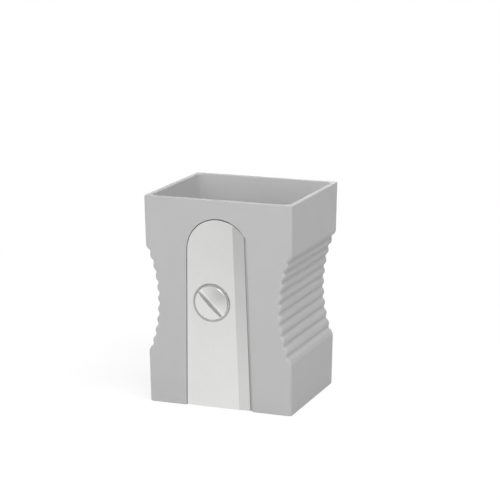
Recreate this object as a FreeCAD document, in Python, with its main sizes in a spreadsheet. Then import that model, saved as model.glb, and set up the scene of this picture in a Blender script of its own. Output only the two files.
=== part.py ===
import FreeCAD, Part
import math
import os
import Sketcher

# Desk pencil cup in the form of a hand-held wedge sharpener.
# Frame: origin at the centre of the base, +Z up, the blade on the front at -Y. Millimetres.

# Every driving size: name, value, meaning
SIZES = [
    ("body_height", 100.0, "base to rim"),
    ("top_width", 73.4, "outside, left to right, at the rim"),
    ("base_width", 71.4, "outside, left to right, at the base"),
    ("top_depth", 65.4, "outside, front to back, at the rim"),
    ("base_depth", 59.2, "outside, front to back, at the base"),
    ("wall", 2.4, "moulded wall"),
    ("corner_round", 1.5, "upright outer edges, along the ribs too"),
    ("well_corner_round", 3.5, "upright corners inside"),
    ("rim_round", 0.3, "edges of the rim"),
    ("base_round", 0.4, "outer edge of the base"),
    ("waist_depth", 5.3, "waist cut in on each side at mid height, from the mean width to the rib crests"),
    ("waist_radius", 65.0, "arc of the waist, seen from the front"),
    ("shoulder_round", 2.0, "where the waist meets the flat sides"),
    ("well_shoulder_round", 5.0, "the same, inside"),
    ("groove_count", 10, "grooves between the ribs on each side"),
    ("groove_pitch", 4.475, "degrees of the waist arc from groove to groove"),
    ("groove_lift", 0.8, "degrees, middle of the grooves above the middle of the waist"),
    ("groove_depth", 0.85, "crest to valley"),
    ("groove_round", 1.6, "radius of the valleys"),
    ("crest_land", 0.2, "degrees of the waist arc left between the rounds of each crest"),
    ("blade_round", 15.2, "radius of the blade's top"),
    ("blade_top_margin", 9.148, "plain wall between the blade's top and the rim"),
    ("blade_back_splay", 1.0, "degrees, the blade's straight back edge"),
    ("blade_edge_splay", 1.55, "degrees, the blade's cutting edge"),
    ("blade_edge_inset", 2.55, "cutting edge's top corner, inside the blade's half width"),
    ("blade_thickness", 1.8, "blade plate"),
    ("blade_gap", 0.35, "clearance round the blade in its seat"),
    ("edge_slit", 1.6, "open slit between the cutting edge and the side of the seat"),
    ("blade_lift", 0.3, "blade's lower end above the base"),
    ("blade_edge_round", 0.22, "front edges of the blade and of the dish in it"),
    ("seat_edge_round", 0.25, "edge of the seat in the front wall"),
    ("seat_runout", 3.0, "how far the seat is cut on past the base"),
    ("bevel_width", 5.05, "ground bevel along the cutting edge"),
    ("bevel_drop", 1.1, "how far the bevel falls at the cutting edge"),
    ("screw_offset", -3.3, "screw from the centre line"),
    ("screw_height", 51.25, "screw up the front wall"),
    ("screw_turn", 45.0, "degrees, the slot from upright, towards the left"),
    ("dish_depth", 0.9, "dished seat of the screw head, below the face of the blade"),
    ("dish_flare", 1.05, "how far the dish widens from its foot to its mouth"),
    ("dish_gap", 0.3, "clearance round the head at the foot of the dish"),
    ("head_diameter", 16.0, "screw head"),
    ("head_side", 1.8, "straight side of the head"),
    ("head_dome", 0.9, "rise of the domed face above the side"),
    ("head_round", 0.35, "edge of the domed face"),
    ("slot_width", 2.5, "screwdriver slot"),
    ("slot_depth", 2.0, "slot below the top of the dome"),
    ("stem_diameter", 6.0, "stem of the screw"),
    ("stem_length", 4.4, "stem below the head"),
    ("stem_chamfer", 0.6, "lead-in at the end of the stem"),
    ("stem_gap", 0.1, "clearance round the stem, and past its end"),
    ("boss_wall", 1.6, "plastic round and behind the end of the stem"),
    ("floor_thickness", 2.4, "floor panel"),
    ("floor_lip", 1.3, "wall left outside the floor panel"),
    ("floor_gap", 0.15, "clearance round the floor panel"),
    ("floor_corner_round", 2.5, "upright corners of the floor panel"),
]
TOLERANCE = 1e-4

# A sketch's own origin and axes, as its constraints name them
ORIGIN_POINT = (-1, 1)
X_AXIS = -1
Y_AXIS = -2

# Formulas that several pieces share: the lean of the front and back walls, the axis of the waist,
# the centre of the blade's round top up the front wall, and the hole for the screw's stem
FRONT_LEAN = "atan((Sizes.top_depth - Sizes.base_depth) / 2 / Sizes.body_height)"
WAIST_AXIS = "((Sizes.top_width + Sizes.base_width) / 4 - Sizes.waist_depth + Sizes.waist_radius)"
BLADE_CENTRE = ("(Sizes.body_height / cos(%s) - Sizes.blade_top_margin - Sizes.blade_round)" % FRONT_LEAN)
STEM_HOLE = "(Sizes.stem_diameter / 2 + Sizes.stem_gap)"
STEM_END = "(Sizes.dish_depth + Sizes.stem_length + Sizes.stem_gap)"

# Rib crests: the round that touches the valley and leaves the crest's land, from the triangle between
# the waist's axis, the centre of the valley and the end of the land
VALLEY_CENTRE = "(Sizes.waist_radius + Sizes.groove_depth - Sizes.groove_round)"
LAND_END = "cos((Sizes.groove_pitch - Sizes.crest_land) * 0.5 deg)"
CREST_ROUND = ("((Sizes.waist_radius ^ 2 + %(valley)s ^ 2 - 2 * Sizes.waist_radius * %(valley)s * %(land)s"
               " - Sizes.groove_round ^ 2)"
               " / (2 * (Sizes.groove_round - Sizes.waist_radius + %(valley)s * %(land)s)))"
               % {"valley": VALLEY_CENTRE, "land": LAND_END})

doc = FreeCAD.newDocument("PencilCup")
sheet = doc.addObject("Spreadsheet::Sheet", "Sizes")
for row, (alias, number, meaning) in enumerate(SIZES, start=1):
    sheet.set("A%d" % row, meaning)
    sheet.set("B%d" % row, str(number))
    sheet.setAlias("B%d" % row, alias)
doc.recompute()


def value(formula):
    """What a formula of the sheet's sizes comes to now, angles in degrees."""
    result = sheet.evalExpression(formula)
    return float(getattr(result, "Value", result))


def size(alias):
    return value("Sizes." + alias)


def new_body(label):
    body = doc.addObject("PartDesign::Body", label)
    body.Label = label
    return body


def new_sketch(body, name, plane, offset=None, turn_axis=(0, 0, 1), turn="0"):
    """A sketch on one of the body's own origin planes, moved and turned by formulas."""
    sketch = body.newObject("Sketcher::SketchObject", name)
    support = [f for f in body.Origin.OriginFeatures if f.Role == plane][0]
    sketch.AttachmentSupport = [(support, "")]
    sketch.MapMode = "FlatFace"
    sketch.AttachmentOffset = FreeCAD.Placement(
        FreeCAD.Vector(), FreeCAD.Rotation(FreeCAD.Vector(*turn_axis), 1.0))
    for axis, formula in (offset or {}).items():
        sketch.setExpression("AttachmentOffset.Base." + axis, formula)
    sketch.setExpression("AttachmentOffset.Rotation.Angle", turn)
    return sketch


def bind(sketch, kind, *geometry, to):
    """A dimension of a sketch, tied to a formula of the sheet's sizes."""
    start = value(to)
    if kind == "Angle":
        start = math.radians(start)
    index = sketch.addConstraint(Sketcher.Constraint(kind, *geometry, start))
    sketch.setExpression("Constraints[%d]" % index, to)


def fix(sketch, kind, *geometry):
    sketch.addConstraint(Sketcher.Constraint(kind, *geometry))


def line(sketch, start, end, construction=False):
    segment = Part.LineSegment(FreeCAD.Vector(*start, 0), FreeCAD.Vector(*end, 0))
    return sketch.addGeometry(segment, construction)


def arc(sketch, centre, radius, first, last):
    whole = Part.Circle(FreeCAD.Vector(*centre, 0), FreeCAD.Vector(0, 0, 1), radius)
    return sketch.addGeometry(Part.ArcOfCircle(whole, first, last))


def chain(sketch, corners):
    """A closed loop of lines through the corners; gives the lines' numbers."""
    following = corners[1:] + corners[:1]
    lines = [line(sketch, a, b) for a, b in zip(corners, following)]
    for here, after in zip(lines, lines[1:] + lines[:1]):
        fix(sketch, "Coincident", here, 2, after, 1)
    return lines


def rectangle(sketch, width, depth):
    """A rectangle centred on the sketch's origin, its two sizes given as formulas."""
    x, y = value(width) / 2, value(depth) / 2
    bottom, right, top, left = chain(sketch, [(-x, -y), (x, -y), (x, y), (-x, y)])
    for flat in (bottom, top):
        fix(sketch, "Horizontal", flat)
    for upright in (right, left):
        fix(sketch, "Vertical", upright)
    fix(sketch, "Symmetric", bottom, 1, right, 2, *ORIGIN_POINT)
    bind(sketch, "DistanceX", bottom, 1, bottom, 2, to=width)
    bind(sketch, "DistanceY", right, 1, right, 2, to=depth)


def circle(sketch, x, y, radius):
    """A circle whose centre and radius are formulas."""
    centre = FreeCAD.Vector(value(x), value(y), 0)
    index = sketch.addGeometry(Part.Circle(centre, FreeCAD.Vector(0, 0, 1), value(radius)))
    bind(sketch, "DistanceX", *ORIGIN_POINT, index, 3, to=x)
    bind(sketch, "DistanceY", *ORIGIN_POINT, index, 3, to=y)
    bind(sketch, "Radius", index, to=radius)


def check_removed(body, name, before):
    doc.recompute()
    if body.Shape.Volume > before - TOLERANCE:
        raise RuntimeError(name + " removes nothing")


def cut(body, name, sketch, depth=None, symmetric=False, reverse=False):
    """A pocket that has to remove material; without a depth it goes through everything."""
    before = body.Shape.Volume
    pocket = body.newObject("PartDesign::Pocket", name)
    pocket.Profile = sketch
    pocket.Reversed = reverse
    if symmetric:
        pocket.SideType = "Symmetric"
    if depth:
        pocket.setExpression("Length", depth)
    else:
        pocket.Type = "ThroughAll"
    check_removed(body, name, before)
    return pocket


def turn_about_y(body, name, kind, sketch):
    """A revolution or groove of a profile, all round the sketch's y axis."""
    turned = body.newObject("PartDesign::" + kind, name)
    turned.Profile = sketch
    turned.ReferenceAxis = (sketch, ["V_Axis"])
    turned.Angle = 360
    doc.recompute()


def edges_where(shape, test):
    return ["Edge%d" % (i + 1) for i, edge in enumerate(shape.Edges) if test(edge)]


def round_edges(body, name, radius, test):
    feature = body.Tip
    fillet = body.newObject("PartDesign::Fillet", name)
    fillet.Base = (feature, edges_where(feature.Shape, test))
    fillet.setExpression("Radius", radius)
    doc.recompute()


def ends(edge):
    return [vertex.Point for vertex in edge.Vertexes]


def runs_along(edge, direction):
    """Whether the edge is straight and parallel to a direction."""
    points = ends(edge)
    if len(points) < 2 or not isinstance(edge.Curve, Part.Line):
        return False
    span = points[1] - points[0]
    return span.cross(FreeCAD.Vector(*direction)).Length < TOLERANCE * span.Length


def at_height(edge, height):
    middle = edge.valueAt((edge.FirstParameter + edge.LastParameter) / 2)
    return all(abs(point.z - height) < TOLERANCE for point in ends(edge) + [middle])


def half_depth_at(point):
    rise = point.z / size("body_height")
    return (size("base_depth") + (size("top_depth") - size("base_depth")) * rise) / 2


def on_side(point, inset=0.0):
    rise = point.z / size("body_height")
    half_width = (size("base_width") + (size("top_width") - size("base_width")) * rise) / 2
    return abs(abs(point.x) - half_width + inset) < TOLERANCE


def on_front(point, inset=0.0):
    return abs(point.y + half_depth_at(point) - inset) < TOLERANCE


def on_back(point, inset=0.0):
    return abs(point.y - half_depth_at(point) + inset) < TOLERANCE


def trapezium(sketch, inset):
    """The front outline: standing on the sketch's x axis, centred on its y axis."""
    base_half = "Sizes.base_width / 2 - " + inset
    top_half = "Sizes.top_width / 2 - " + inset
    low, high, height = value(base_half), value(top_half), size("body_height")
    base, _, top, _ = chain(sketch, [(-low, 0), (low, 0), (high, height), (-high, height)])
    fix(sketch, "PointOnObject", base, 1, X_AXIS)
    fix(sketch, "Symmetric", base, 1, base, 2, *ORIGIN_POINT)
    fix(sketch, "Symmetric", top, 1, top, 2, Y_AXIS)
    bind(sketch, "DistanceX", *ORIGIN_POINT, base, 2, to=base_half)
    bind(sketch, "DistanceX", *ORIGIN_POINT, top, 1, to=top_half)
    bind(sketch, "DistanceY", *ORIGIN_POINT, top, 1, to="Sizes.body_height")


def lean_off_cut(sketch, side, inset):
    """What is cut from the front or the back, so that the wall leans from base depth to top depth."""
    low = "%d * (Sizes.base_depth / 2 - %s)" % (side, inset)
    high = "%d * (Sizes.top_depth / 2 - %s)" % (side, inset)
    outer = "%d * (Sizes.top_depth + Sizes.base_depth)" % side
    height = size("body_height")
    base, far, top, _ = chain(sketch, [(value(low), 0), (value(outer), 0), (value(outer), height),
                                       (value(high), height)])
    for flat in (base, top):
        fix(sketch, "Horizontal", flat)
    fix(sketch, "Vertical", far)
    fix(sketch, "PointOnObject", base, 1, X_AXIS)
    bind(sketch, "DistanceX", *ORIGIN_POINT, base, 1, to=low)
    bind(sketch, "DistanceX", *ORIGIN_POINT, top, 2, to=high)
    bind(sketch, "DistanceX", *ORIGIN_POINT, far, 1, to=outer)
    bind(sketch, "DistanceY", *ORIGIN_POINT, far, 2, to="Sizes.body_height")


def waisted_block(label, inset):
    """The cup's outer form, or with an inset the form of the well inside it, its edges still sharp."""
    body = new_body(label)

    # Front outline, wider at the rim, then the front and back cut to their lean
    outline = new_sketch(body, label + "_front", "XZ_Plane")
    trapezium(outline, inset)
    block = body.newObject("PartDesign::Pad", label + "_block")
    block.Profile = outline
    block.SideType = "Symmetric"
    block.setExpression("Length", "Sizes.top_depth + Sizes.base_depth")
    doc.recompute()
    lean = new_sketch(body, label + "_side", "YZ_Plane")
    for side in (1, -1):
        lean_off_cut(lean, side, inset)
    cut(body, label + "_lean", lean, "Sizes.top_width + Sizes.base_width", symmetric=True)

    # Round waist, cut from both sides
    waist = new_sketch(body, label + "_waist", "XZ_Plane")
    for side in (1, -1):
        circle(waist, "%d * %s" % (side, WAIST_AXIS), "Sizes.body_height / 2",
               "Sizes.waist_radius + " + inset)
    cut(body, label + "_waist_cut", waist, "2 * Sizes.top_depth", symmetric=True)
    return body


def between_ends(edge):
    return not at_height(edge, 0) and not at_height(edge, size("body_height"))


def round_upright_edges(body, label, inset, shoulder_radius, corner_radius):
    """Soft shoulders above and below the waist, then the upright edges along sides and waist."""
    depth = value(inset)

    def is_shoulder(edge):
        return runs_along(edge, (0, 1, 0)) and all(on_side(point, depth) for point in ends(edge))

    def on_one_wall(edge):
        return any(all(on_wall(point, depth) for point in ends(edge)) for on_wall in (on_front, on_back))

    round_edges(body, label + "_shoulders", shoulder_radius, lambda e: is_shoulder(e) and between_ends(e))
    round_edges(body, label + "_corners", corner_radius, lambda e: on_one_wall(e) and between_ends(e))


def front_sketch(body, name, behind="0"):
    """A sketch on the leaning front wall: its origin on the base line, +x right and +y up the wall."""
    return new_sketch(body, name, "XZ_Plane", {"z": "Sizes.base_depth / 2 - " + behind},
                      (1, 0, 0), FRONT_LEAN)


def blade_outline(sketch, margin, edge_margin, foot):
    """The blade's outline: round top and straight back edge on the left, grown by a margin, and
    cutting edge on the right, grown by a margin of its own; both sides splay towards the foot."""
    round_radius = "Sizes.blade_round + " + margin
    edge_corner = "Sizes.blade_round - Sizes.blade_edge_inset + " + edge_margin
    radius, corner_x = value(round_radius), value(edge_corner)
    centre, low = value(BLADE_CENTRE), value(foot)
    splay_back = math.radians(size("blade_back_splay"))
    splay_edge = math.radians(size("blade_edge_splay"))
    corner_angle = math.acos(corner_x / radius)
    corner = (corner_x, centre + radius * math.sin(corner_angle))
    touch_angle = math.pi - splay_back
    touch = (radius * math.cos(touch_angle), centre + radius * math.sin(touch_angle))
    back_foot = (touch[0] - (touch[1] - low) * math.tan(splay_back), low)
    edge_foot = (corner[0] + (corner[1] - low) * math.tan(splay_edge), low)

    top = arc(sketch, (0, centre), radius, corner_angle, touch_angle)
    back = line(sketch, back_foot, touch)
    edge = line(sketch, edge_foot, corner)
    base = line(sketch, back_foot, edge_foot)
    fix(sketch, "Tangent", top, 2, back, 2)
    fix(sketch, "Coincident", top, 1, edge, 2)
    fix(sketch, "Coincident", base, 1, back, 1)
    fix(sketch, "Coincident", base, 2, edge, 1)
    fix(sketch, "Horizontal", base)
    fix(sketch, "PointOnObject", top, 3, Y_AXIS)
    bind(sketch, "DistanceY", *ORIGIN_POINT, top, 3, to=BLADE_CENTRE)
    bind(sketch, "Radius", top, to=round_radius)
    bind(sketch, "Angle", back, to="90 deg - Sizes.blade_back_splay * 1 deg")
    bind(sketch, "Angle", edge, to="90 deg + Sizes.blade_edge_splay * 1 deg")
    bind(sketch, "DistanceX", *ORIGIN_POINT, edge, 2, to=edge_corner)
    bind(sketch, "DistanceY", *ORIGIN_POINT, base, 1, to=foot)


def ribbed_grip(body, name, side, half_turn):
    """The grooves of one side, fanned about the axis of the waist."""
    fan_angle = "Sizes.groove_pitch * (Sizes.groove_count - 1) * 1 deg"
    sketch = new_sketch(body, name + "_profile", "XZ_Plane",
                        {"x": "%d * %s" % (side, WAIST_AXIS), "y": "Sizes.body_height / 2"},
                        turn="%s - %s / 2 - %d * Sizes.groove_lift * 1 deg" % (half_turn, fan_angle, side))
    circle(sketch, "-" + VALLEY_CENTRE, "0", "Sizes.groove_round")
    groove = cut(body, name + "_groove", sketch, "2 * Sizes.top_depth", symmetric=True)
    fan = body.newObject("PartDesign::PolarPattern", name + "_fan")
    fan.Originals = [groove]
    fan.Axis = (sketch, ["N_Axis"])
    fan.setExpression("Angle", fan_angle)
    fan.setExpression("Occurrences", "Sizes.groove_count")
    body.Tip = fan
    doc.recompute()


def round_crests(body):
    """Each groove's two edges rounded off, which turns the grooves into a wave."""
    def is_crest(edge):
        return runs_along(edge, (0, 1, 0)) and not any(on_side(point) for point in ends(edge))

    round_edges(body, "rib_crests", CREST_ROUND, lambda e: is_crest(e) and between_ends(e))


def floor_outline(sketch, gap):
    """The floor panel's outline, or with no gap its rebate: a rectangle notched for the blade's seat."""
    inset = " - Sizes.floor_lip - " + gap
    outset = " + Sizes.floor_lip + " + gap
    half_width = "Sizes.base_width / 2" + inset
    half_depth = "Sizes.base_depth / 2" + inset
    notch_left = ("Sizes.blade_round + %s * tan(Sizes.blade_back_splay * 1 deg) + Sizes.blade_gap"
                  % BLADE_CENTRE) + outset
    corner_rise = "sqrt(2 * Sizes.blade_round * Sizes.blade_edge_inset - Sizes.blade_edge_inset ^ 2)"
    notch_right = ("Sizes.blade_round - Sizes.blade_edge_inset + Sizes.edge_slit"
                   " + (%s + %s) * tan(Sizes.blade_edge_splay * 1 deg)"
                   % (BLADE_CENTRE, corner_rise)) + outset
    x, y, left, right = (value(formula) for formula in (half_width, half_depth, notch_left, notch_right))
    step = y - size("blade_thickness")
    lines = chain(sketch, [(-x, -y), (-left, -y), (-left, -step), (right, -step), (right, -y), (x, -y),
                           (x, y), (-x, y)])
    for flat in lines[0::2]:
        fix(sketch, "Horizontal", flat)
    for upright in lines[1::2]:
        fix(sketch, "Vertical", upright)
    fix(sketch, "Symmetric", lines[0], 1, lines[5], 2, *ORIGIN_POINT)
    fix(sketch, "PointOnObject", lines[4], 1, lines[0])
    bind(sketch, "DistanceX", *ORIGIN_POINT, lines[5], 2, to=half_width)
    bind(sketch, "DistanceY", *ORIGIN_POINT, lines[5], 2, to=half_depth)
    bind(sketch, "DistanceX", lines[1], 1, *ORIGIN_POINT, to=notch_left)
    bind(sketch, "DistanceX", *ORIGIN_POINT, lines[3], 1, to=notch_right)
    bind(sketch, "DistanceY", lines[1], 1, lines[1], 2, to="Sizes.blade_thickness")


def round_floor_corners(body, name, gap):
    """The four outer upright corners of the floor panel or its rebate."""
    outermost = value("Sizes.base_width / 2 - Sizes.floor_lip - " + gap)

    def is_corner(edge):
        points = ends(edge)
        from_base = min(abs(point.z) for point in points) < TOLERANCE
        return from_base and runs_along(edge, (0, 0, 1)) and abs(abs(points[0].x) - outermost) < TOLERANCE

    round_edges(body, name, "Sizes.floor_corner_round", is_corner)


def make_well():
    """The space inside: the cup's form within the wall, stepped in behind the blade and the screw."""
    well = waisted_block("well", "Sizes.wall")
    round_upright_edges(well, "well", "Sizes.wall", "Sizes.well_shoulder_round", "Sizes.well_corner_round")
    backing = front_sketch(well, "seat_backing", "Sizes.wall")
    blade_outline(backing, "Sizes.blade_gap + Sizes.wall", "Sizes.edge_slit + Sizes.wall",
                  "-Sizes.seat_runout")
    cut(well, "seat_backing_cut", backing, "Sizes.blade_thickness")
    boss = front_sketch(well, "screw_boss", "Sizes.wall")
    circle(boss, "Sizes.screw_offset", "Sizes.screw_height", STEM_HOLE + " + Sizes.boss_wall")
    cut(well, "screw_boss_cut", boss, STEM_END + " + Sizes.boss_wall - Sizes.wall")
    return well


def make_cup_body():
    body = waisted_block("cup_body", "0")
    ribbed_grip(body, "right_grip", 1, "0 deg")
    ribbed_grip(body, "left_grip", -1, "180 deg")
    round_crests(body)
    round_upright_edges(body, "cup_body", "0", "Sizes.shoulder_round", "Sizes.corner_round")
    round_edges(body, "base_edge", "Sizes.base_round", lambda e: at_height(e, 0))
    well = make_well()
    hollow = body.newObject("PartDesign::Boolean", "hollow")
    hollow.Type = "Cut"
    hollow.Group = [well]
    body.Tip = hollow
    doc.recompute()
    round_edges(body, "rim_edges", "Sizes.rim_round", lambda e: at_height(e, size("body_height")))

    # Seat of the blade, its edge eased
    seat = front_sketch(body, "blade_seat")
    blade_outline(seat, "Sizes.blade_gap", "Sizes.edge_slit", "-Sizes.seat_runout")
    cut(body, "blade_seat_cut", seat, "Sizes.blade_thickness")
    seat_half_width = value("Sizes.blade_round + Sizes.blade_gap + Sizes.seat_runout")
    round_edges(body, "blade_seat_edge", "Sizes.seat_edge_round",
                lambda e: all(on_front(p) and abs(p.x) < seat_half_width for p in ends(e)))

    # Hole of the screw and rebate of the floor panel
    hole = front_sketch(body, "screw_hole")
    circle(hole, "Sizes.screw_offset", "Sizes.screw_height", STEM_HOLE)
    cut(body, "screw_hole_cut", hole, STEM_END)
    rebate = new_sketch(body, "floor_rebate", "XY_Plane")
    floor_outline(rebate, "0")
    cut(body, "floor_rebate_cut", rebate, "Sizes.floor_thickness", reverse=True)
    round_floor_corners(body, "floor_rebate_corners", "0")
    return body


def make_cup_floor():
    body = new_body("cup_floor")
    outline = new_sketch(body, "floor_outline", "XY_Plane")
    floor_outline(outline, "Sizes.floor_gap")
    panel = body.newObject("PartDesign::Pad", "floor_panel")
    panel.Profile = outline
    panel.setExpression("Length", "Sizes.floor_thickness")
    doc.recompute()
    round_floor_corners(body, "floor_corners", "Sizes.floor_gap")
    return body


def stand_on_front(body, across="0", up="0", behind="0"):
    """Place a body made flat at the origin, face up, onto the leaning front wall or let into it."""
    terms = {"up": up, "behind": behind, "lean": FRONT_LEAN}
    body.Placement = FreeCAD.Placement(
        FreeCAD.Vector(), FreeCAD.Rotation(FreeCAD.Vector(1, 0, 0), 90.0))
    body.setExpression("Placement.Rotation.Angle", "90 deg + " + FRONT_LEAN)
    body.setExpression("Placement.Base.x", across)
    body.setExpression("Placement.Base.y",
                       "-Sizes.base_depth / 2 - %(up)s * sin(%(lean)s)"
                       " + %(behind)s * cos(%(lean)s)" % terms)
    body.setExpression("Placement.Base.z",
                       "%(up)s * cos(%(lean)s) + %(behind)s * sin(%(lean)s)" % terms)


def screw_dish(body):
    """The flaring seat of the screw head, turned out of the blade's face and eased at its mouth."""
    foot = "Sizes.head_diameter / 2 + Sizes.dish_gap"
    above = foot + " + 2 * Sizes.dish_flare"
    depth = size("dish_depth")
    sketch = new_sketch(body, "dish_profile", "XZ_Plane",
                        {"x": "Sizes.screw_offset", "z": "-Sizes.screw_height"})
    floor, flare, lid, axis = chain(
        sketch, [(0, -depth), (value(foot), -depth), (value(above), depth), (0, depth)])
    for flat in (floor, lid):
        fix(sketch, "Horizontal", flat)
    fix(sketch, "Symmetric", axis, 1, axis, 2, *ORIGIN_POINT)
    fix(sketch, "PointOnObject", floor, 1, Y_AXIS)
    bind(sketch, "DistanceX", *ORIGIN_POINT, floor, 2, to=foot)
    bind(sketch, "DistanceX", *ORIGIN_POINT, flare, 2, to=above)
    bind(sketch, "DistanceY", floor, 1, *ORIGIN_POINT, to="Sizes.dish_depth")
    before = body.Shape.Volume
    turn_about_y(body, "screw_dish", "Groove", sketch)
    check_removed(body, "screw_dish", before)
    mouth = value(foot + " + Sizes.dish_flare")
    round_edges(body, "dish_edge", "Sizes.blade_edge_round",
                lambda e: isinstance(e.Curve, Part.Circle) and at_height(e, 0)
                and abs(e.Curve.Radius - mouth) < TOLERANCE)


def make_blade_plate():
    body = new_body("blade_plate")
    outline = new_sketch(body, "blade_outline", "XY_Plane")
    blade_outline(outline, "0", "0", "Sizes.blade_lift")
    plate = body.newObject("PartDesign::Pad", "blade_blank")
    plate.Profile = outline
    plate.Reversed = True
    plate.setExpression("Length", "Sizes.blade_thickness")
    doc.recompute()

    # Ground bevel along the cutting edge
    def on_edge_side(edge):
        return isinstance(edge.Curve, Part.Line) and min(point.x for point in ends(edge)) > 0

    bevel = body.newObject("PartDesign::Chamfer", "blade_bevel")
    bevel.Base = (plate, edges_where(plate.Shape, lambda e: on_edge_side(e) and at_height(e, 0)))
    bevel.ChamferType = "Two distances"
    bevel.setExpression("Size", "Sizes.bevel_drop")
    bevel.setExpression("Size2", "Sizes.bevel_width")
    doc.recompute()

    # The outline's front edges are eased; the crease and the cutting edge stay sharp
    def is_front_outline(edge):
        lowest, highest = sorted(point.z for point in ends(edge))
        from_front = highest > -TOLERANCE and lowest > -size("bevel_drop") - TOLERANCE
        return from_front and not (on_edge_side(edge) and at_height(edge, 0))

    round_edges(body, "blade_front_edges", "Sizes.blade_edge_round", is_front_outline)
    screw_dish(body)
    hole = new_sketch(body, "blade_hole", "XY_Plane")
    circle(hole, "Sizes.screw_offset", "Sizes.screw_height", STEM_HOLE)
    cut(body, "blade_hole_cut", hole)
    stand_on_front(body)
    return body


def screw_profile(sketch):
    """Half section of the screw: stem with a lead-in, flat-bottomed head and domed face."""
    stem, head = size("stem_diameter") / 2, size("head_diameter") / 2
    tip, bite = -size("stem_length"), size("stem_chamfer")
    side, crown = size("head_side"), size("head_side") + size("head_dome")
    dome_radius = (head ** 2 + size("head_dome") ** 2) / (2 * size("head_dome"))
    dome_centre = (0, crown - dome_radius)
    corners = [(0, tip), (stem - bite, tip), (stem, tip + bite), (stem, 0), (head, 0), (head, side)]
    lines = [line(sketch, a, b) for a, b in zip(corners, corners[1:])]
    end, lead, shank, seat, rim = lines
    dome = arc(sketch, dome_centre, dome_radius, math.atan2(side - dome_centre[1], head), math.pi / 2)
    axis = line(sketch, (0, crown), (0, tip))
    for here, after in zip(lines, lines[1:]):
        fix(sketch, "Coincident", here, 2, after, 1)
    fix(sketch, "Coincident", rim, 2, dome, 1)
    fix(sketch, "Coincident", dome, 2, axis, 1)
    fix(sketch, "Coincident", axis, 2, end, 1)
    for flat in (end, seat):
        fix(sketch, "Horizontal", flat)
    for upright in (shank, rim, axis):
        fix(sketch, "Vertical", upright)
    fix(sketch, "PointOnObject", dome, 3, Y_AXIS)
    fix(sketch, "PointOnObject", axis, 2, Y_AXIS)
    fix(sketch, "PointOnObject", seat, 1, X_AXIS)
    bind(sketch, "DistanceX", *ORIGIN_POINT, shank, 2, to="Sizes.stem_diameter / 2")
    bind(sketch, "DistanceX", *ORIGIN_POINT, seat, 2, to="Sizes.head_diameter / 2")
    bind(sketch, "DistanceY", end, 1, *ORIGIN_POINT, to="Sizes.stem_length")
    bind(sketch, "DistanceX", lead, 1, lead, 2, to="Sizes.stem_chamfer")
    bind(sketch, "DistanceY", lead, 1, lead, 2, to="Sizes.stem_chamfer")
    bind(sketch, "DistanceY", rim, 1, rim, 2, to="Sizes.head_side")
    bind(sketch, "DistanceY", *ORIGIN_POINT, dome, 2, to="Sizes.head_side + Sizes.head_dome")


def make_blade_screw():
    body = new_body("blade_screw")
    profile = new_sketch(body, "screw_profile", "XZ_Plane")
    screw_profile(profile)
    turn_about_y(body, "screw_turned", "Revolution", profile)
    round_edges(body, "screw_head_edge", "Sizes.head_round", lambda e: at_height(e, size("head_side")))

    # Screwdriver slot across the head
    slot = new_sketch(body, "screw_slot", "XZ_Plane", {"y": "Sizes.head_side + Sizes.head_dome"},
                      (0, 1, 0), "Sizes.screw_turn * 1 deg")
    rectangle(slot, "Sizes.slot_width", "2 * Sizes.slot_depth")
    cut(body, "screw_slot_cut", slot, "2 * Sizes.head_diameter", symmetric=True)
    stand_on_front(body, "Sizes.screw_offset", "Sizes.screw_height", "Sizes.dish_depth")
    return body


def main():
    parts = [make_cup_body(), make_cup_floor(), make_blade_plate(), make_blade_screw()]
    doc.recompute()
    for item in doc.Objects:
        if "Invalid" in item.State or "Error" in item.State:
            raise RuntimeError("failed: " + item.Label)
    for part in parts:
        if part.Shape.isNull() or not part.Shape.isValid():
            raise RuntimeError("bad shape: " + part.Label)
    os.makedirs("parts", exist_ok=True)
    for part in parts:
        part.Shape.exportStep(os.path.join("parts", part.Label + ".step"))
        print(part.Label, round(part.Shape.Volume, 1), part.Shape.BoundBox)


main()
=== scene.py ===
import math

import bpy
import numpy as np
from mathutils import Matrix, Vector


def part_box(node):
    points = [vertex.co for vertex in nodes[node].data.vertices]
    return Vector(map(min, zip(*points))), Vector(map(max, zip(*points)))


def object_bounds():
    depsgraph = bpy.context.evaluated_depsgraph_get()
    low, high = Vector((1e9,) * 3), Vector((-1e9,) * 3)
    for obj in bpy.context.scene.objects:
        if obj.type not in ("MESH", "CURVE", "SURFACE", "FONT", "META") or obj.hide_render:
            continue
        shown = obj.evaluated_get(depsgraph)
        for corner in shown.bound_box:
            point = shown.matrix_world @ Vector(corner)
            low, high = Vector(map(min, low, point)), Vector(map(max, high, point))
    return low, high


# Desk pencil cup in the form of a wedge sharpener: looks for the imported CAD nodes, in metres
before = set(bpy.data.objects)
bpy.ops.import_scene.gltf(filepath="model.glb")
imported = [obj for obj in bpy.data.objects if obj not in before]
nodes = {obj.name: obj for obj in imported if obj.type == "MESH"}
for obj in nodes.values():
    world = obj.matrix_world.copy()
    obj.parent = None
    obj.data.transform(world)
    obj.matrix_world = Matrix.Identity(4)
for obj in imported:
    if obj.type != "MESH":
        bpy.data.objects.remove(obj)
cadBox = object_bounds()
print("frame loaded:", ", ".join(sorted(nodes)))


# small helpers for node trees
def newMaterial(name):
    material = bpy.data.materials.new(name)
    material.use_nodes = True
    tree = material.node_tree
    return material, tree, tree.nodes["Principled BSDF"]


# an input is linked to another node's output, or set to a constant
def feed(tree, socket, given):
    if isinstance(given, bpy.types.NodeSocket):
        tree.links.new(given, socket)
    else:
        socket.default_value = given


def addNode(tree, kind, settings=None, **inputs):
    node = tree.nodes.new("ShaderNode" + kind)
    for key, setting in (settings or {}).items():
        setattr(node, key, setting)
    for key, given in inputs.items():
        feed(tree, node.inputs[key], given)
    return node


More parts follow.
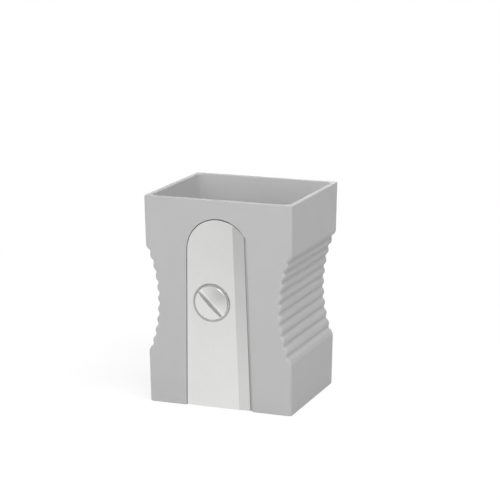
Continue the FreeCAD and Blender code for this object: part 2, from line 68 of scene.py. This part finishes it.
def calculate(tree, operation, *given, kind="Math", result="Value"):
    node = addNode(tree, kind, {"operation": operation})
    for socket, part in zip(node.inputs, given):
        feed(tree, socket, part)
    return node.outputs[result]


def product(tree, first, *others):
    for other in others:
        first = calculate(tree, "MULTIPLY", first, other)
    return first


# how far a vector goes along a direction
def partAlong(tree, vector, direction):
    return calculate(tree, "DOT_PRODUCT", vector, direction, kind="VectorMath")


# a direction or place without its height
def flat(tree, vector):
    return calculate(tree, "MULTIPLY", vector, (1, 1, 0), kind="VectorMath", result="Vector")


def objectCoords(tree):
    return addNode(tree, "TexCoord").outputs["Object"]


def facing(tree):
    return addNode(tree, "TexCoord").outputs["Normal"]


# noise in real units: one blob is about size metres across, stretched by the factors in stretch
def noise(tree, size, detail, stretch=(1, 1, 1)):
    mapping = addNode(tree, "Mapping", {"vector_type": "TEXTURE"}, Vector=objectCoords(tree),
                      Scale=[size * factor for factor in stretch])
    texture = addNode(tree, "TexNoise", Vector=mapping.outputs["Vector"], Scale=1.0, Detail=detail)
    return texture.outputs["Fac"]


# a value carried from one range to another, and held at the ends
def ramp(tree, value, start, end, low, high):
    ends = {"From Min": start, "From Max": end, "To Min": low, "To Max": high}
    ranged = addNode(tree, "MapRange", {"interpolation_type": "SMOOTHSTEP"}, Value=value, **ends)
    return ranged.outputs["Result"]


# where most values of a noise lie
noiseRange = (0.3, 0.7)


# a noise value spread to a range of values
def spread(tree, value, low, high):
    return ramp(tree, value, *noiseRange, low, high)


# a noise value made into a shade of 1, give or take a share
def mottle(tree, value, share):
    return spread(tree, value, 1 - share, 1 + share)


# a colour brightened or dimmed by a value near 1
def shaded(tree, colour, value):
    scaled = addNode(tree, "VectorMath", {"operation": "SCALE"}, Scale=value)
    scaled.inputs[0].default_value = colour
    return scaled.outputs["Vector"]


# the colour, the roughness and a bump joined to a material's shader
def joinSurface(tree, shader, colour, roughness, bump):
    tree.links.new(colour, shader.inputs["Base Color"])
    tree.links.new(roughness, shader.inputs["Roughness"])
    tree.links.new(bump.outputs["Normal"], shader.inputs["Normal"])


def dress(nodeName, material):
    slots = nodes[nodeName].data.materials
    slots.clear()
    slots.append(material)


# grey satin plastic, with cloudy colour, a fine eroded grain and uneven gloss; the walls that face the
# axis are painted lighter, painted light for the brighter light inside the cup, to come near their level in
# the photograph
plastic = {
    "colour": (0.500, 0.500, 0.502),
    "cloudSize": 0.022, "cloudDetail": 3.0, "cloudShade": 0.012,
    "speckSize": 0.0006, "speckDetail": 2.0, "speckShade": 0.010,
    "roughness": (0.50, 0.60), "glossSize": 0.012, "glossDetail": 4.0,
    "grainSize": 0.00035, "grainDetail": 1.0, "grainHeight": 0.000012, "grainStrength": 0.5,
    "specular": 0.18,
    "insidePaintedLight": 1.18, "insideFrom": -0.018, "insideTo": -0.026,
}
floorPanelRoughness = (0.55, 0.65)


def plasticMaterial(name, look):
    material, tree, shader = newMaterial(name)
    cloud = mottle(tree, noise(tree, look["cloudSize"], look["cloudDetail"]), look["cloudShade"])
    speck = mottle(tree, noise(tree, look["speckSize"], look["speckDetail"]), look["speckShade"])
    outwards = partAlong(tree, facing(tree), flat(tree, objectCoords(tree)))
    # painted light: the walls that face the axis get a lighter colour
    paintedInsideLight = ramp(tree, outwards, look["insideFrom"], look["insideTo"], 1, look["insidePaintedLight"])
    colour = shaded(tree, look["colour"], product(tree, cloud, speck, paintedInsideLight))
    gloss = spread(tree, noise(tree, look["glossSize"], look["glossDetail"]), *look["roughness"])
    grain = noise(tree, look["grainSize"], look["grainDetail"])
    bump = addNode(tree, "Bump", Height=grain, Strength=look["grainStrength"], Distance=look["grainHeight"])
    joinSurface(tree, shader, colour, gloss, bump)
    shader.inputs["Specular IOR Level"].default_value = look["specular"]
    return material


dress("cup_body", plasticMaterial("greyBodyPlastic", plastic))
dress("cup_floor", plasticMaterial("greyFloorPlastic", {**plastic, "roughness": floorPanelRoughness}))
print("plastic on the cup and its floor")

# satin silver of the blade, ground along its length; the bevel, which faces more sideways, is painted
# darker, painted shade for the dimmer light it reflects
bladeFinish = {
    "colour": (0.762, 0.764, 0.755),
    "roughness": (0.36, 0.46),
    "brushWidth": 0.00012, "brushLength": 0.012, "brushDetail": 2.0,
    "brushShade": 0.025, "brushHeight": 0.000004, "brushStrength": 0.4,
    "cloudSize": 0.015, "cloudDetail": 3.0, "cloudShade": 0.010,
    "bevelFrom": 0.08, "bevelTo": 0.16, "bevelPaintedShade": 0.86,
}


def bladeMaterial(look):
    material, tree, shader = newMaterial("groundBladeSilver")
    alongBlade = (1, 1, look["brushLength"] / look["brushWidth"])
    brush = noise(tree, look["brushWidth"], look["brushDetail"], alongBlade)
    cloud = mottle(tree, noise(tree, look["cloudSize"], look["cloudDetail"]), look["cloudShade"])
    lines = mottle(tree, brush, look["brushShade"])
    sideways = partAlong(tree, facing(tree), (1, 0, 0))
    # painted shade: the sideways-facing bevel gets a darker colour
    paintedBevelShade = ramp(tree, sideways, look["bevelFrom"], look["bevelTo"], 1, look["bevelPaintedShade"])
    colour = shaded(tree, look["colour"], product(tree, cloud, lines, paintedBevelShade))
    gloss = spread(tree, brush, *look["roughness"])
    bump = addNode(tree, "Bump", Height=brush, Strength=look["brushStrength"], Distance=look["brushHeight"])
    joinSurface(tree, shader, colour, gloss, bump)
    shader.inputs["Metallic"].default_value = 1.0
    return material


dress("blade_plate", bladeMaterial(bladeFinish))
print("silver on the blade")

# silver of the screw, faced on a lathe: faint rings about its axis, and a smooth floor in the slot with
# painted light, a lighter colour against the shade in the slot, found by its depth behind the front of the
# head and by facing forwards
screwFinish = {
    "colour": (0.730, 0.732, 0.725),
    "roughness": (0.26, 0.36),
    "ringPitch": 0.0013823, "ringWobble": 0.6,
    "ringShade": 0.012, "ringHeight": 0.0000015, "ringStrength": 0.3,
    "slotFrom": 0.0012, "slotTo": 0.0016, "slotFacing": (0.80, 0.95),
    "slotPaintedLight": 1.10, "slotRoughness": 0.18,
    "cloudSize": 0.006, "cloudDetail": 3.0, "cloudShade": 0.012,
}
waveTurns = 20  # radians that Blender's wave texture goes through in each unit


def screwMaterial(look):
    material, tree, shader = newMaterial("turnedScrewSilver")
    low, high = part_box("blade_screw")
    placed = addNode(tree, "Mapping", {"vector_type": "POINT"}, Vector=objectCoords(tree),
                     Location=-(low + high) / 2)
    rings = addNode(tree, "TexWave", {"wave_type": "RINGS", "rings_direction": "Y"},
                    Vector=placed.outputs["Vector"], Distortion=look["ringWobble"],
                    Scale=2 * math.pi / waveTurns / look["ringPitch"])
    ring = rings.outputs["Fac"]
    clouds = noise(tree, look["cloudSize"], look["cloudDetail"])
    lines = mottle(tree, ring, look["ringShade"])
    depth = partAlong(tree, objectCoords(tree), (0, 1, 0))
    sunk = ramp(tree, depth, low[1] + look["slotFrom"], low[1] + look["slotTo"], 0, 1)
    forwards = partAlong(tree, facing(tree), (0, -1, 0))
    slot = product(tree, sunk, ramp(tree, forwards, *look["slotFacing"], 0, 1))
    # painted light: the slot's floor gets a lighter colour
    paintedSlotLight = ramp(tree, slot, 0, 1, 1, look["slotPaintedLight"])
    shade = product(tree, mottle(tree, clouds, look["cloudShade"]), lines, paintedSlotLight)
    gloss = spread(tree, clouds, *look["roughness"])
    smooth = addNode(tree, "Mix", Factor=slot, A=gloss, B=look["slotRoughness"])
    bump = addNode(tree, "Bump", Height=ring, Strength=look["ringStrength"], Distance=look["ringHeight"])
    joinSurface(tree, shader, shaded(tree, look["colour"], shade), smooth.outputs["Result"], bump)
    shader.inputs["Metallic"].default_value = 1.0
    return material


dress("blade_screw", screwMaterial(screwFinish))
print("silver on the screw")

pureWhite = (1, 1, 1, 1)


# 1 for what the camera sees directly, in a gloss or through glass, otherwise 0
def seenDirectly(tree):
    rays = addNode(tree, "LightPath").outputs
    direct = calculate(tree, "MAXIMUM", rays["Is Camera Ray"], rays["Is Glossy Ray"])
    return calculate(tree, "MAXIMUM", direct, rays["Is Transmission Ray"])


# the room is dimmer behind the camera, which only a gloss shows, by the way it lies from the cup
cameraSide = {"turn": 12.0, "core": 15.0, "edge": 40.0, "drop": 0.42}  # degrees, and a share of white


def dimSide(tree, direction, look):
    level = calculate(tree, "NORMALIZE", flat(tree, direction), kind="VectorMath", result="Vector")
    turn, core, edge = (math.radians(look[key]) for key in ("turn", "core", "edge"))
    match = partAlong(tree, level, (math.sin(turn), -math.cos(turn), 0))
    drop = ramp(tree, match, math.cos(edge), math.cos(core), 0, look["drop"])
    return product(tree, drop, addNode(tree, "LightPath").outputs["Is Glossy Ray"])


def mixShaders(tree, share, first, second):
    mixed = addNode(tree, "MixShader", Fac=share)
    tree.links.new(first.outputs[0], mixed.inputs[1])
    tree.links.new(second.outputs[0], mixed.inputs[2])
    return mixed


def greyDiffuse(tree, level):
    return addNode(tree, "BsdfDiffuse", Color=(level, level, level, 1))


# white floor, a hair below the base: near the cup a glow makes up for what the lamps leave below white, so
# that only the shadow shows, and further out it is plain white
floor = {
    "half": 8.0, "below": 0.00005,
    "bounce": 0.80, "shadowShare": 0.30, "glow": 0.75, "fadeFrom": 0.14, "fadeTo": 0.34,
}


def floorMaterial(look):
    material = bpy.data.materials.new("paleFloor")
    material.use_nodes = True
    tree = material.node_tree
    tree.nodes.clear()
    glow = addNode(tree, "Emission", Color=pureWhite, Strength=look["glow"])
    near = addNode(tree, "AddShader")
    tree.links.new(greyDiffuse(tree, look["shadowShare"]).outputs[0], near.inputs[0])
    tree.links.new(glow.outputs[0], near.inputs[1])
    spot = objectCoords(tree)
    level = calculate(tree, "SUBTRACT", 1.0, dimSide(tree, spot, cameraSide))
    far = addNode(tree, "Emission", Color=pureWhite, Strength=level)
    distance = calculate(tree, "LENGTH", spot, kind="VectorMath")
    fade = ramp(tree, distance, look["fadeFrom"], look["fadeTo"], 0, 1)
    seen = mixShaders(tree, fade, near, far)
    surface = mixShaders(tree, seenDirectly(tree), greyDiffuse(tree, look["bounce"]), seen)
    out = addNode(tree, "OutputMaterial")
    tree.links.new(surface.outputs[0], out.inputs["Surface"])
    return material


def buildFloor(look):
    half, height = look["half"], cadBox[0][2] - look["below"]
    corners = [(x * half, y * half, height) for x, y in ((-1, -1), (1, -1), (1, 1), (-1, 1))]
    mesh = bpy.data.meshes.new("paleFloor")
    mesh.from_pydata(corners, [], [(0, 1, 2, 3)])
    mesh.materials.append(floorMaterial(look))
    sheet = bpy.data.objects.new("paleFloor", mesh)
    bpy.context.scene.collection.objects.link(sheet)


buildFloor(floor)
print("floor laid")

# soft studio: an even white room and five broad panels, all turned to the cup's middle
room = {"ambient": 0.25}
panel = {"size": 0.50, "aim": (0, 0, 0.05)}
lamps = {
    "frontPanel": {"place": (-0.074, -0.843, 0.358), "watts": 3.02, "inGloss": False},
    "highPanel": {"place": (0.365, -0.365, 0.787), "watts": 3.53, "inGloss": True},
    "sidePanel": {"place": (0.501, 0.289, 0.739), "watts": 1.54, "inGloss": True},
    "backPanel": {"place": (-0.153, 0.867, 0.237), "watts": 2.43, "inGloss": True},
    "leftPanel": {"place": (-0.867, 0.153, 0.237), "watts": 2.10, "inGloss": True},
}


def buildRoom(look):
    world = bpy.data.worlds.new("whiteRoom")
    world.use_nodes = True
    tree = world.node_tree
    tree.nodes.clear()
    level = ramp(tree, seenDirectly(tree), 0, 1, look["ambient"], 1)
    dim = dimSide(tree, addNode(tree, "TexCoord").outputs["Generated"], cameraSide)
    strength = calculate(tree, "SUBTRACT", level, dim)
    back = addNode(tree, "Background", Color=pureWhite, Strength=strength)
    out = addNode(tree, "OutputWorld")
    tree.links.new(back.outputs[0], out.inputs["Surface"])
    bpy.context.scene.world = world


def buildLamp(name, look):
    lamp = bpy.data.lights.new(name, "AREA")
    lamp.shape = "SQUARE"
    lamp.size = panel["size"]
    lamp.energy = look["watts"]
    holder = bpy.data.objects.new(name, lamp)
    bpy.context.scene.collection.objects.link(holder)
    holder.visible_camera = False
    holder.visible_glossy = look["inGloss"]
    holder.location = look["place"]
    across, along, down = np.array(panel["aim"]) - look["place"]
    holder.rotation_euler = (math.atan2(math.hypot(across, along), -down), 0, math.atan2(-across, along))


buildRoom(room)
for lampName, lampLook in lamps.items():
    buildLamp(lampName, lampLook)
print("room lit")

# the photograph's viewpoint
viewpoint = {
    "place": (0.3228, -0.8279, 0.2678),
    "lookDown": 12.54, "turn": 21.073,  # degrees
    "lens": 137.64, "sensor": 36.0,  # millimetres
}


def buildCamera(look):
    camera = bpy.data.cameras.new("photoCamera")
    camera.lens = look["lens"]
    camera.sensor_width = look["sensor"]
    holder = bpy.data.objects.new("photoCamera", camera)
    holder.location = look["place"]
    holder.rotation_euler = (math.radians(90 - look["lookDown"]), 0, math.radians(look["turn"]))
    bpy.context.scene.collection.objects.link(holder)
    bpy.context.scene.camera = holder


buildCamera(viewpoint)
bpy.context.scene.view_settings.view_transform = "Standard"
print("camera set")
